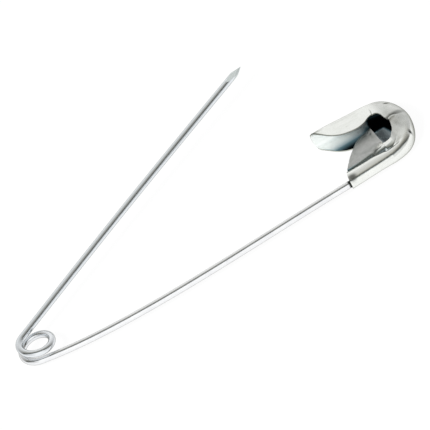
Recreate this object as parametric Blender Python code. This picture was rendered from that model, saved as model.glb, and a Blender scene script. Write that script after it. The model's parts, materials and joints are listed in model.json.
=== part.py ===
"""Large open safety pin: a sprung wire with a coil, and a folded sheet-metal cap.

Frame: +X along the fixed arm towards the cap, +Y towards the pin arm, +Z along the coil's
axis. The pin lies open on the cap's flat back wall, with the origin under its middle.
Lengths are in metres.
"""

import math

import bmesh
import bpy
from mathutils import Vector

# Wire
WIRE_DIAMETER = 0.0020
FACE_GAP = 0.0003              # between wire pieces that meet face to face
GRIP_GAP = 0.0001              # between the wire and the cap that grips it

# Spring coil, seen along its axis
COIL_CENTRE_X = -0.0959        # from the cap's mouth
COIL_CENTRE_Y = 0.0083         # above the fixed arm's line
COIL_RADIUS_AT_PIN = 0.00444   # to the middle of the wire
COIL_RADIUS_AT_ARM = 0.00466
COIL_RISE = 0.0033             # from the fixed arm's level to the pin arm's
PIN_LEAVES_AT = math.radians(28.7)      # direction in which the pin arm leaves
ARM_LEAVES_AT = math.radians(-14.5)     # direction in which the fixed arm leaves
COIL_FULL_TURNS = 1            # whole turns, before the part turn between the two arms
POINTS_PER_TURN = 36

# Fixed arm, straight at the cap and bowed where it comes off the coil
ARM_COIL_HANDLE = 0.0265       # how far the coil's direction carries into the bow
ARM_CAP_HANDLE = 0.0300        # how far the straight run carries into the bow
ARM_SEATED_LENGTH = 0.0145     # of wire inside the cap
ARM_POINTS = 30

# Pin arm and its ground point
PIN_LENGTH = 0.1040            # along its chord, from the coil's straight end to the tip
PIN_CHORD_AT = math.radians(27.25)
PIN_BOW = 0.0009               # sideways bow in the pin's plane
PIN_LIFT = 0.0015              # rise of the tip above the coil's end
PIN_POINTS = 26
POINT_LENGTH = 0.0045
POINT_TIP_RADIUS = 0.00004
# Along the point: distance from its root, and radius, as shares
POINT_SHARES = ((0.0, 1.0), (0.22, 0.93), (0.5, 0.72), (0.78, 0.4), (0.93, 0.15))
WIRE_SIDES = 16

# Cap, folded from one strip of sheet
SHEET = 0.00035
CAP_LENGTH = 0.0245            # from its mouth to the far end of the bend
CAP_HEIGHT = 0.0255            # from its lower rim to the rim at the nose
CAP_DEPTH = 0.0065             # across its two walls
CORNER_DEPTH = 0.0023          # over which the channel's rim rounds into its walls
CORNER_POWER = 2.5             # squareness of that rounding
CREASE_HEIGHT = 0.0047         # of the guard's crease above the wire
ROLL_HEIGHT = 0.0026           # up to which the roll on the wire keeps its full depth
TAB_GAP = 0.0001               # between the guard's two leaves
MOUTH_BOW = 1.4                # how the mouth and the guard's ribs lean in, above 1
STATIONS_PER_RIB = 3

# Ribs of the cap, from the mouth round the bend to the nose. Each has a point on the rim,
# then its end on the free edge, with X as a share of the cap's length and Y as a share of its
# height above the wire's middle. The guard's ribs end on the guard's edge, front and back.
GUARD_RIB_SHARES = (
    ((0.000, -0.050), (0.120, 0.275)),
    ((0.110, -0.049), (0.175, 0.350)),
    ((0.220, -0.046), (0.250, 0.432)),
    ((0.335, -0.042), (0.345, 0.510)),
    ((0.450, -0.036), (0.455, 0.556)),
    ((0.570, -0.027), (0.573, 0.562)),
)
# Past the slit in the front wall the front edge swings out round the hollow of the bend,
# and the back edge turns back sharply, so that the back wall closes the bend.
WALL_RIB_SHARES = (
    ((0.570, -0.027), (0.574, 0.240), (0.573, 0.562)),
    ((0.690, 0.006), (0.668, 0.255), (0.586, 0.566)),
    ((0.810, 0.063), (0.740, 0.300), (0.593, 0.571)),
    ((0.910, 0.161), (0.774, 0.380), (0.597, 0.576)),
    ((0.977, 0.300), (0.781, 0.450), (0.599, 0.581)),
    ((1.005, 0.440), (0.765, 0.514), (0.599, 0.586)),
    ((0.987, 0.592), (0.750, 0.590), (0.597, 0.590)),
    ((0.931, 0.736), (0.722, 0.640), (0.593, 0.594)),
    ((0.836, 0.844), (0.685, 0.660), (0.585, 0.597)),
    ((0.706, 0.893), (0.620, 0.648), (0.570, 0.598)),
    ((0.570, 0.908), (0.540, 0.606), (0.530, 0.596)),
    ((0.445, 0.918), (0.450, 0.590), (0.450, 0.590)),
    ((0.325, 0.932), (0.345, 0.602), (0.345, 0.602)),
    ((0.215, 0.944), (0.245, 0.640), (0.245, 0.640)),
    ((0.120, 0.954), (0.155, 0.712), (0.155, 0.712)),
    ((0.045, 0.960), (0.085, 0.800), (0.085, 0.800)),
    ((-0.014, 0.962), (0.028, 0.875), (0.028, 0.875)),
)
RIM_COLUMNS = 6                # under the wire, or round the channel's rim
DROP_COLUMNS = 4               # where the roll drops to the guard's crease
EDGE_COLUMNS = 4               # from the crease to the free edge
CREASE_SHARE = 0.8             # highest place of the crease on a short rib
OPENING_STARTS = 0.35          # share of the cap's length where the roll begins to open out
OPENING_ENDS = 0.92            # share where it has become the full channel

# Finish
STEEL_COLOUR = (0.72, 0.73, 0.74, 1.0)
CAP_COLOUR = (0.70, 0.71, 0.70, 1.0)
WIRE_ROUGHNESS = 0.22
CAP_ROUGHNESS = 0.28

WIRE_RADIUS = WIRE_DIAMETER / 2
TUBE_RADIUS = WIRE_RADIUS + GRIP_GAP + SHEET / 2
WALL_LEVEL = (CAP_DEPTH - SHEET) / 2
TAB_LEVEL = (SHEET + TAB_GAP) / 2
UP = Vector((0, 0, 1))


def clear_scene():
    """Remove what the scene holds, so that the script can be run again."""
    for item in list(bpy.data.objects):
        bpy.data.objects.remove(item, do_unlink=True)


def steel(name, colour, roughness):
    """Return a metal finish."""
    material = bpy.data.materials.new(name)
    material.use_nodes = True
    shader = material.node_tree.nodes["Principled BSDF"]
    shader.inputs["Base Color"].default_value = colour
    shader.inputs["Metallic"].default_value = 1.0
    shader.inputs["Roughness"].default_value = roughness
    return material


def empty(name, location, parent=None):
    """Return an empty that carries what turns about the given place."""
    item = bpy.data.objects.new(name, None)
    item.empty_display_size = WIRE_DIAMETER
    item.location = location
    item.parent = parent
    bpy.context.collection.objects.link(item)
    return item


def add_piece(name, shape, material, parent, smooth_angle=math.radians(40)):
    """Turn a bmesh into a named piece under its parent, shaded smooth."""
    bmesh.ops.recalc_face_normals(shape, faces=shape.faces)
    mesh = bpy.data.meshes.new(name)
    shape.to_mesh(mesh)
    shape.free()
    mesh.shade_smooth()
    mesh.set_sharp_from_angle(angle=smooth_angle)
    mesh.materials.append(material)
    item = bpy.data.objects.new(name, mesh)
    item.parent = parent
    bpy.context.collection.objects.link(item)
    return item


def heading(angle):
    """Return the direction in the pin's plane at an angle from +X."""
    return Vector((math.cos(angle), math.sin(angle), 0))


def ease(share):
    """Return a share that starts and stops gently."""
    share = min(max(share, 0.0), 1.0)
    return share * share * (3 - 2 * share)


def bezier(start, start_handle, end_handle, end, count):
    """Return points along a cubic curve."""
    points = []
    for index in range(count + 1):
        t = index / count
        points.append(
            start * (1 - t) ** 3
            + start_handle * 3 * t * (1 - t) ** 2
            + end_handle * 3 * t * t * (1 - t)
            + end * t ** 3
        )
    return points


def round_bar(points, radii, first_side):
    """Sweep a round section along points, square at both ends, as one closed skin."""
    shape = bmesh.new()
    rings = []
    side = first_side
    for index, point in enumerate(points):
        before = points[max(index - 1, 0)]
        after = points[min(index + 1, len(points) - 1)]
        along = (after - before).normalized()
        side = (side - along * side.dot(along)).normalized()
        across = along.cross(side)
        ring = []
        for step in range(WIRE_SIDES):
            turn = 2 * math.pi * step / WIRE_SIDES
            offset = side * math.cos(turn) + across * math.sin(turn)
            ring.append(shape.verts.new(point + offset * radii[index]))
        rings.append(ring)
    for ring, following in zip(rings, rings[1:]):
        for step in range(WIRE_SIDES):
            beside = (step + 1) % WIRE_SIDES
            shape.faces.new((ring[step], ring[beside], following[beside], following[step]))
    shape.faces.new(list(reversed(rings[0])))
    shape.faces.new(rings[-1])
    return shape


def coil_points():
    """Return the coil's middle line about its own centre, from the pin arm's end down."""
    start = PIN_LEAVES_AT + math.pi / 2
    end = ARM_LEAVES_AT - math.pi / 2 + 2 * math.pi * (COIL_FULL_TURNS + 1)
    count = round((end - start) / (2 * math.pi) * POINTS_PER_TURN)
    points = []
    for index in range(count + 1):
        share = index / count
        radius = COIL_RADIUS_AT_PIN + (COIL_RADIUS_AT_ARM - COIL_RADIUS_AT_PIN) * share
        level = COIL_RISE * (1 - ease(share))
        points.append(heading(start + (end - start) * share) * radius + UP * level)
    top_run = points[0] + heading(PIN_LEAVES_AT) * WIRE_DIAMETER
    low_run = points[-1] + heading(ARM_LEAVES_AT) * WIRE_DIAMETER
    return [top_run] + points + [low_run]


def least_gap(points):
    """Return the least clear distance between one turn of the coil and the next."""
    apart = POINTS_PER_TURN // 2
    nearest = min(
        (first - second).length
        for index, first in enumerate(points)
        for second in points[index + apart:]
    )
    return nearest - WIRE_DIAMETER


def fixed_arm_points(coil_end):
    """Return the fixed arm's middle line from the coil to its end inside the cap."""
    start = coil_end + heading(ARM_LEAVES_AT) * FACE_GAP
    mouth = Vector((0, 0, 0))
    bow = bezier(
        start,
        start + heading(ARM_LEAVES_AT) * ARM_COIL_HANDLE,
        mouth - heading(0) * ARM_CAP_HANDLE,
        mouth,
        ARM_POINTS,
    )
    return bow + [place + Vector((0, TUBE_RADIUS, 0)) for place in seat_run()]


def seat_run():
    """Return the stretch of the cap's rim that the fixed arm's end lies on."""
    ribs = rib_series(GUARD_RIB_SHARES) + rib_series(WALL_RIB_SHARES)[1:]
    run = []
    for before, after in zip(ribs, ribs[1:]):
        if after[0].x > ARM_SEATED_LENGTH:
            step = (ARM_SEATED_LENGTH - before[0].x) / (after[0].x - before[0].x)
            return run + [before[0].lerp(after[0], step)]
        if after[0].x > WIRE_DIAMETER:
            run.append(after[0])
    return run


def pin_arm_points(start):
    """Return the pin arm's middle line and its radii, from the coil to the tip."""
    points, radii = [], []
    shaft = PIN_LENGTH - POINT_LENGTH
    stations = [(shaft * index / PIN_POINTS, WIRE_RADIUS) for index in range(PIN_POINTS)]
    for place, radius in POINT_SHARES:
        stations.append((shaft + POINT_LENGTH * place, WIRE_RADIUS * radius))
    stations.append((PIN_LENGTH, POINT_TIP_RADIUS))
    for distance, radius in stations:
        share = distance / PIN_LENGTH
        bow = PIN_BOW * math.sin(math.pi * share)
        lift = PIN_LIFT * share * share
        point = start + heading(PIN_CHORD_AT) * distance
        points.append(point + heading(PIN_CHORD_AT + math.pi / 2) * bow + UP * lift)
        radii.append(radius)
    return points, radii


def cap_point(shares):
    """Return a point in the pin's plane from shares of the cap's length and height."""
    return Vector((shares[0] * CAP_LENGTH, shares[1] * CAP_HEIGHT, 0))


def smooth_between(ribs, index, share):
    """Return a rib between two given ones, on a smooth curve through them all."""
    last = len(ribs) - 1
    around = [ribs[min(max(index + step, 0), last)] for step in (-1, 0, 1, 2)]
    rib = []
    for ends in zip(*around):
        a, b, c, d = (cap_point(end) for end in ends)
        rib.append(
            (b * 2 + (c - a) * share
             + (a * 2 - b * 5 + c * 4 - d) * share ** 2
             + (b * 3 - a - c * 3 + d) * share ** 3) / 2
        )
    return rib


def rib_series(ribs):
    """Return the given ribs with smooth ones between them."""
    series = []
    for index in range(len(ribs) - 1):
        for step in range(STATIONS_PER_RIB):
            series.append(smooth_between(ribs, index, step / STATIONS_PER_RIB))
    series.append([cap_point(end) for end in ribs[-1]])
    return series


def section_heights():
    """Return the heights of the section's columns above the wire, from rim to crease."""
    heights = []
    for column in range(RIM_COLUMNS + 1):
        heights.append(-TUBE_RADIUS * math.cos(math.pi / 2 * column / RIM_COLUMNS))
    drop = CREASE_HEIGHT - ROLL_HEIGHT
    for column in range(DROP_COLUMNS + 1):
        heights.append(ROLL_HEIGHT + drop * math.sin(math.pi / 2 * column / DROP_COLUMNS))
    return heights


def roll_level(height):
    """Return the half depth of the roll on the wire at a height above the wire's middle."""
    if height <= 0:
        return math.sqrt(max(TUBE_RADIUS ** 2 - height ** 2, 0.0))
    past = max(height - ROLL_HEIGHT, 0.0) / (CREASE_HEIGHT - ROLL_HEIGHT)
    return TAB_LEVEL + (TUBE_RADIUS - TAB_LEVEL) * math.sqrt(max(1 - past * past, 0.0))


def channel_level(depth):
    """Return the open channel's half depth at a distance in from its rim."""
    inward = min(depth / CORNER_DEPTH, 1.0)
    return WALL_LEVEL * (1 - (1 - inward) ** CORNER_POWER) ** (1 / CORNER_POWER)


def half_section(rim, edge, in_guard, webbed):
    """Return one wall of a section: points from the rim to the free edge."""
    across = edge - rim
    reach = across.y if in_guard else across.length
    lean = MOUTH_BOW if in_guard else 1.0
    opened, spread = 1.0, 1.0
    if rim.y < CREASE_HEIGHT:
        run = rim.x / CAP_LENGTH
        slit = WALL_RIB_SHARES[0][0][0]
        opened = ease((run - OPENING_STARTS) / (OPENING_ENDS - OPENING_STARTS))
        spread = ease((run - slit) / (OPENING_ENDS - slit)) if webbed else opened
    crease = CREASE_HEIGHT + TUBE_RADIUS
    shrink = min(1.0, CREASE_SHARE * reach / crease)
    depths, levels = [], []
    for height in section_heights():
        depth = (height + TUBE_RADIUS) * shrink
        depths.append(depth)
        levels.append(roll_level(height) * (1 - opened) + channel_level(depth) * opened)
    crease_depth, crease_level = depths[-1], levels[-1]
    far_level = TAB_LEVEL if in_guard else TAB_LEVEL + (WALL_LEVEL - TAB_LEVEL) * spread
    for column in range(1, EDGE_COLUMNS + 1):
        share = column / EDGE_COLUMNS
        depths.append(crease_depth + (reach - crease_depth) * share)
        levels.append(crease_level + (far_level - crease_level) * ease(share * 2))
    levels[0] = 0
    points = []
    for depth, level in zip(depths, levels):
        share = depth / reach
        x = rim.x + across.x * share ** lean
        points.append(Vector((x, rim.y + across.y * share, level)))
    return points


def cap_sheet():
    """Return the cap's middle surface, slit between the guard and the front of the bend."""
    shape = bmesh.new()
    crease = RIM_COLUMNS + DROP_COLUMNS + 1

    def add_station(rim, front_edge, back_edge, in_guard):
        front = half_section(rim, front_edge, in_guard, False)
        back = half_section(rim, back_edge, in_guard, True)
        station = {0: shape.verts.new(front[0])}
        for column in range(1, len(front)):
            station[column] = shape.verts.new(front[column])
            x, y, level = back[column]
            station[-column] = shape.verts.new(Vector((x, y, -level)))
        return station

    guard = [add_station(rim, edge, edge, True) for rim, edge in rib_series(GUARD_RIB_SHARES)]
    wall = [add_station(*rib, False) for rib in rib_series(WALL_RIB_SHARES)]
    for column in range(-crease - EDGE_COLUMNS, crease + 1):
        shape.verts.remove(wall[0][column])
        wall[0][column] = guard[-1][column]
    for run in (guard, wall):
        for station, following in zip(run, run[1:]):
            for column in range(-crease - EDGE_COLUMNS, crease + EDGE_COLUMNS):
                shape.faces.new((
                    station[column], station[column + 1],
                    following[column + 1], following[column],
                ))
    return shape


def add_cap(material, parent):
    """Add the folded cap: a tube on the wire, a guard, a bend and an open catch."""
    cap = add_piece("cap", cap_sheet(), material, parent)
    wall = cap.modifiers.new("sheet", 'SOLIDIFY')
    wall.thickness = SHEET
    wall.offset = 0
    wall.use_even_offset = True
    return cap


def lowest_corner_and_highest(pieces):
    """Return the lowest and highest corner of the pieces as they are placed."""
    bpy.context.view_layer.update()
    depsgraph = bpy.context.evaluated_depsgraph_get()
    corners = []
    for piece in pieces:
        evaluated = piece.evaluated_get(depsgraph)
        corners += [evaluated.matrix_world @ Vector(corner) for corner in evaluated.bound_box]
    low = Vector(min(corner[axis] for corner in corners) for axis in range(3))
    high = Vector(max(corner[axis] for corner in corners) for axis in range(3))
    return low, high


def main():
    """Build the pin, then stand its frame under the middle of it."""
    clear_scene()
    wire_steel = steel("nickel_plated_wire", STEEL_COLOUR, WIRE_ROUGHNESS)
    cap_steel = steel("nickel_plated_sheet", CAP_COLOUR, CAP_ROUGHNESS)

    mouth = empty("mouth", Vector((0, 0, 0)))
    coil_centre = Vector((COIL_CENTRE_X, COIL_CENTRE_Y, 0))
    swing_axis = empty("swing_axis", coil_centre, mouth)

    coil = coil_points()
    print("least gap between turns, mm:", round(least_gap(coil) * 1000, 3))
    radii = [WIRE_RADIUS] * len(coil)
    spring = add_piece("spring_coil", round_bar(coil, radii, UP), wire_steel, swing_axis)

    flex_place = coil[0] + heading(PIN_LEAVES_AT) * FACE_GAP
    flex_axis = empty("flex_axis", flex_place, swing_axis)
    pin, pin_radii = pin_arm_points(Vector((0, 0, 0)))
    pin_arm = add_piece("pin_arm", round_bar(pin, pin_radii, UP), wire_steel, flex_axis)

    arm = fixed_arm_points(coil_centre + coil[-1])
    radii = [WIRE_RADIUS] * len(arm)
    fixed = add_piece("fixed_wire", round_bar(arm, radii, UP), wire_steel, mouth)

    cap = add_cap(cap_steel, mouth)

    low, high = lowest_corner_and_highest((spring, pin_arm, fixed, cap))
    middle = (low + high) / 2
    mouth.location = -Vector((middle.x, middle.y, low.z))
    bpy.context.view_layer.update()
    for item in (mouth, swing_axis, flex_axis):
        print(item.name, "at", [round(value, 5) for value in item.matrix_world.translation])
    print("size, mm:", [round(value * 1000, 2) for value in high - low])


main()
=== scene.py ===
"""Looks of a large open safety pin: bright plated spring wire and a folded, plated sheet cap.

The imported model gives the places. The wire and the cap are modelled again here in finer
detail, on the same middle lines and ribs, and dressed with worked nickel-plate finishes.
Lengths are in metres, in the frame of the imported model.
"""

import json
import logging
import math
from dataclasses import dataclass
from enum import Enum

import bpy
import numpy as np
from bpy.types import Material, Node, NodeSocket, NodeTree, Object
from mathutils import Matrix, Vector


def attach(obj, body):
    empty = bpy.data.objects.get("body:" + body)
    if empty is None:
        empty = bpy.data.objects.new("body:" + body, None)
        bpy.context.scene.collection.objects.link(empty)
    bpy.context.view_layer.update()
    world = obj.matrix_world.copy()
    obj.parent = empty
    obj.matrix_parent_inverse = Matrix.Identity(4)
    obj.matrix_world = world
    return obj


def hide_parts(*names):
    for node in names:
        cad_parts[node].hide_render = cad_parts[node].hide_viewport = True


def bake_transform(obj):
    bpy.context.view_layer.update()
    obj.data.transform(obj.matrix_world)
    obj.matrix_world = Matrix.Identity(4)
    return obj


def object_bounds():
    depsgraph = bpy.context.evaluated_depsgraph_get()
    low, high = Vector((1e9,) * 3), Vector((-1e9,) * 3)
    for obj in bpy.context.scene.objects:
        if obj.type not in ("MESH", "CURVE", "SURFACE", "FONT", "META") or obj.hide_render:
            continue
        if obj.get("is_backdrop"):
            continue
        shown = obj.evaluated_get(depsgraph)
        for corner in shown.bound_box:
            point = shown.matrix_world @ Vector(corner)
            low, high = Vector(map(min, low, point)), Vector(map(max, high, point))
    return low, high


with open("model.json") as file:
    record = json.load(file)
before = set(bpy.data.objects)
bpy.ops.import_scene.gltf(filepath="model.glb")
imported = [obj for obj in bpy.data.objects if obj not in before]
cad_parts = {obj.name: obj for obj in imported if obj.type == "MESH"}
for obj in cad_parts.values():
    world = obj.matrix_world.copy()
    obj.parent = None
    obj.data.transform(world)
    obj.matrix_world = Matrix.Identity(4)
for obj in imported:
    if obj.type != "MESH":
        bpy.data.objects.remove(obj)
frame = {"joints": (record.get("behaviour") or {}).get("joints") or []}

LOG = logging.getLogger("safety_pin")
MM = 0.001
WIRE_RADIUS = 1.0 * MM
UP = Vector((0, 0, 1))
RAMP_ROUND = 0.12

Point = Vector
Shares = tuple[float, float]
Value = NodeSocket | Vector | tuple | float


class Side(Enum):
    """The two walls of the folded sheet."""

    FRONT = 1
    BACK = -1


class Part(Enum):
    """The two runs of the cap's sheet, one on each side of the slit."""

    GUARD = "guard"
    WALL = "wall"


# ---------------------------------------------------------------- small helpers


def ease(share: float) -> float:
    """Return a share that starts and stops gently."""
    share = min(max(share, 0.0), 1.0)
    return share * share * (3 - 2 * share)


@dataclass(frozen=True)
class Fade:
    """A gentle step from 0 to 1, placed by its start and its reach in millimetres."""

    start: float
    reach: float

    def at(self, place: float) -> float:
        """Return how far the step has risen at a place in metres."""
        return ease((place - self.start * MM) / (self.reach * MM))

    def left(self, place: float) -> float:
        """Return how much of the step is still to come at a place in metres."""
        return 1 - self.at(place)


def ramp(share: float) -> float:
    """Return a straight rise from 0 to 1 with its two ends rounded.

    Args:
        share: Place along the rise.

    Returns:
        How far it has risen.
    """
    low, high = (min(max(share + step, 0.0), 1.0) for step in (-RAMP_ROUND, RAMP_ROUND))
    over = max(share + RAMP_ROUND - 1.0, 0.0) - max(share - RAMP_ROUND - 1.0, 0.0)
    return ((high * high - low * low) / 2 + over) / (2 * RAMP_ROUND)


def in_mm(*corners: Shares) -> tuple[Shares, ...]:
    """Return the corners of a line, given in millimetres, in metres."""
    return tuple((x * MM, y * MM) for x, y in corners)


def heading(degrees: float) -> Vector:
    """Return the direction in the pin's plane at an angle from +X."""
    turn = math.radians(degrees)
    return Vector((math.cos(turn), math.sin(turn), 0))


def bell(distance: float, spread: float) -> float:
    """Return 1 at no distance, falling smoothly to 0 over about three spreads."""
    return math.exp(-0.5 * (distance / spread) ** 2)


def away_from_line(x: float, y: float, line: tuple[Shares, ...]) -> tuple[float, float, float]:
    """Measure how a place in the pin's plane lies to an open line.

    Args:
        x: Place along the fixed arm.
        y: Place across it.
        line: Corners of the line.

    Returns:
        The distance to the line, the side of it as -1 or 1, and the share along it.
    """
    best = (math.inf, 1.0, 0.0)
    count = len(line) - 1
    for index, (start, end) in enumerate(zip(line, line[1:])):
        ax, ay = start
        dx, dy = end[0] - ax, end[1] - ay
        along = ((x - ax) * dx + (y - ay) * dy) / (dx * dx + dy * dy)
        held = min(max(along, 0.0), 1.0)
        away = math.hypot(x - ax - dx * held, y - ay - dy * held)
        if away < best[0]:
            side = 1.0 if dx * (y - ay) - dy * (x - ax) > 0 else -1.0
            best = (away, side, (index + held) / count)
    return best


def leave_edit() -> None:
    """Go back from editing a mesh to its object."""
    bpy.ops.object.mode_set(mode="OBJECT")


def clear_selection() -> None:
    """Leave edit mode and deselect everything."""
    active = bpy.context.view_layer.objects.active
    if active is not None and active.mode != "OBJECT":
        leave_edit()
    bpy.ops.object.select_all(action="DESELECT")


def select_only(piece: Object) -> None:
    """Select one object and make it the active one.

    Args:
        piece: The object.
    """
    clear_selection()
    piece.select_set(True)
    bpy.context.view_layer.objects.active = piece


def edit(piece: Object, kind: str, action: str) -> None:
    """Open a piece's mesh for editing.

    Args:
        piece: The piece.
        kind: What is selected in it: VERT, EDGE or FACE.
        action: SELECT for all of it, or DESELECT for none.
    """
    select_only(piece)
    bpy.ops.object.mode_set(mode="EDIT")
    bpy.ops.mesh.select_mode(type=kind)
    bpy.ops.mesh.select_all(action=action)


def drop_selected_faces(join_distance: float = 0.0) -> None:
    """Delete the selected faces of the active mesh and turn the others outward.

    Args:
        join_distance: How near the points lie that are then joined; none are at 0.
    """
    bpy.ops.object.mode_set(mode="EDIT")
    bpy.ops.mesh.delete(type="FACE")
    bpy.ops.mesh.select_all(action="SELECT")
    if join_distance:
        bpy.ops.mesh.remove_doubles(threshold=join_distance)
    bpy.ops.mesh.normals_make_consistent(inside=False)
    leave_edit()


def apply_modifiers(piece: Object) -> None:
    """Apply every modifier of a piece, in order.

    Args:
        piece: The piece.
    """
    select_only(piece)
    for modifier in list(piece.modifiers):
        bpy.ops.object.modifier_apply(modifier=modifier.name)


def point_attribute(piece: Object, name: str, values: list[float]) -> None:
    """Keep one number for each vertex under a name, for the materials to read."""
    attribute = piece.data.attributes.new(name, "FLOAT", "POINT")
    attribute.data.foreach_set("value", np.array(values, np.float32))


# ---------------------------------------------------------------- the wire's middle lines


@dataclass(frozen=True)
class WireRoute:
    """Middle line of the one bent wire, in three stretches, from the cap's mouth."""

    # The coil, with the angles at which the two arms leave it.
    coil_centre: Point = Vector((-95.9, 8.3, 0)) * MM
    radius_at_pin: float = 4.44 * MM
    radius_at_arm: float = 4.66 * MM
    rise: float = 3.3 * MM
    pin_leaves_at: float = 28.7
    arm_leaves_at: float = -14.5
    full_turns: int = 1
    straight_end: float = 2.0 * MM
    stations_per_turn: int = 120
    # Where two stretches meet.
    face_gap: float = 0.3 * MM
    lead: float = 0.05 * MM
    # The fixed arm and its end in the cap.
    coil_handle: float = 26.5 * MM
    cap_handle: float = 30.0 * MM
    arm_stations: int = 110
    seated_length: float = 14.5 * MM
    # Reach of the painted shade ring on the fixed arm, where it enters the cap's mouth.
    mouth_shade_reach: Shares = (0.80 * MM, 0.42 * MM)
    # The pin arm.
    pin_length: float = 104.3 * MM
    pin_chord_at: float = 27.3
    pin_bow: float = 0.9 * MM
    pin_lift: float = 1.5 * MM
    pin_stations: int = 130

    def coil(self) -> list[Point]:
        """Work out the coil's line, from the pin arm's end down to the fixed arm's.

        Returns:
            Its points, from the cap's mouth.
        """
        start = self.pin_leaves_at + 90
        end = self.arm_leaves_at - 90 + 360 * (self.full_turns + 1)
        count = round((end - start) / 360 * self.stations_per_turn)
        line = []
        for index in range(count + 1):
            share = index / count
            radius = self.radius_at_pin + (self.radius_at_arm - self.radius_at_pin) * share
            level = self.rise * (1 - ease(share))
            line.append(heading(start + (end - start) * share) * radius + UP * level)
        top = line[0] + heading(self.pin_leaves_at) * (self.straight_end + self.face_gap)
        low = line[-1] + heading(self.arm_leaves_at) * (self.straight_end + self.face_gap)
        top_lead = top - heading(self.pin_leaves_at) * self.lead
        low_lead = low - heading(self.arm_leaves_at) * self.lead
        return [self.coil_centre + place for place in [top, top_lead, *line, low_lead, low]]

    def fixed_arm(self, seat: list[Point]) -> list[Point]:
        """Return the fixed arm's line.

        Args:
            seat: Points inside the cap that the arm's end lies on, from the mouth on.

        Returns:
            Points from the coil to the arm's end in the cap.
        """
        start = self.coil()[-1]
        along = heading(self.arm_leaves_at)
        handle = start + along * self.coil_handle
        far_handle = Vector((-self.cap_handle, 0, 0))
        line = [start, start + along * self.lead]
        for index in range(1, self.arm_stations + 1):
            t = index / self.arm_stations
            line.append(
                start * (1 - t) ** 3 + handle * 3 * t * (1 - t) ** 2
                + far_handle * 3 * t * t * (1 - t)
            )
        line[-1:-1] = [Vector((-reach, 0, 0)) for reach in self.mouth_shade_reach]
        return line + seat

    def pin_arm(self) -> list[Point]:
        """Work out the pin arm's line, from the coil to the point.

        Returns:
            Its points, from the cap's mouth.
        """
        start = self.coil()[0]
        chord, across = heading(self.pin_chord_at), heading(self.pin_chord_at + 90)
        line = [start, start + heading(self.pin_leaves_at) * self.lead]
        for index in range(1, self.pin_stations + 1):
            share = index / self.pin_stations
            bow = across * (self.pin_bow * math.sin(math.pi * share))
            line.append(
                start + chord * (self.pin_length * share) + bow
                + UP * (self.pin_lift * share * share)
            )
        return line


# ---------------------------------------------------------------- the cap's form


GUARD_RIB_SHARES: tuple = (
    ((0.000, -0.050), (0.128, 0.275)),
    ((0.110, -0.049), (0.184, 0.348)),
    ((0.220, -0.046), (0.259, 0.430)),
    ((0.335, -0.042), (0.345, 0.510)),
    ((0.450, -0.036), (0.455, 0.556)),
    ((0.570, -0.027), (0.573, 0.562)),
)
WALL_RIB_SHARES: tuple = (
    ((0.570, -0.027), (0.574, 0.262), (0.573, 0.562)),
    ((0.690, 0.006), (0.668, 0.266), (0.586, 0.566)),
    ((0.810, 0.063), (0.738, 0.300), (0.593, 0.571)),
    ((0.910, 0.161), (0.772, 0.380), (0.597, 0.576)),
    ((0.977, 0.300), (0.781, 0.450), (0.599, 0.581)),
    ((1.005, 0.440), (0.758, 0.512), (0.599, 0.586)),
    ((0.987, 0.592), (0.747, 0.590), (0.597, 0.590)),
    ((0.931, 0.736), (0.722, 0.640), (0.593, 0.594)),
    ((0.836, 0.844), (0.685, 0.660), (0.585, 0.597)),
    ((0.706, 0.893), (0.620, 0.648), (0.570, 0.598)),
    ((0.570, 0.908), (0.540, 0.606), (0.530, 0.596)),
    ((0.445, 0.918), (0.450, 0.590), (0.450, 0.590)),
    ((0.325, 0.932), (0.345, 0.602), (0.345, 0.602)),
    ((0.215, 0.944), (0.245, 0.640), (0.245, 0.640)),
    ((0.120, 0.954), (0.155, 0.712), (0.155, 0.712)),
    ((0.045, 0.960), (0.085, 0.800), (0.085, 0.800)),
    ((-0.014, 0.962), (0.028, 0.875), (0.028, 0.875)),
)


@dataclass(frozen=True)
class Dent:
    """A small pressed mark in the cap's front wall, in millimetres and degrees, with its grime and
    painted shade.
    """

    x: float
    y: float
    length: float
    width: float
    turn: float
    depth: float
    grime_and_shade: float

    def weight(self, x: float, y: float) -> float:
        """Return how much of the dent reaches a place in metres.

        Args:
            x: Place along the fixed arm.
            y: Place across it.

        Returns:
            The share, from 0 to 1.
        """
        turn = math.radians(self.turn)
        dx, dy = x - self.x * MM, y - self.y * MM
        along = dx * math.cos(turn) + dy * math.sin(turn)
        across = dy * math.cos(turn) - dx * math.sin(turn)
        return bell(math.hypot(along / (self.length * MM), across / (self.width * MM)), 1.0)


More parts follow.
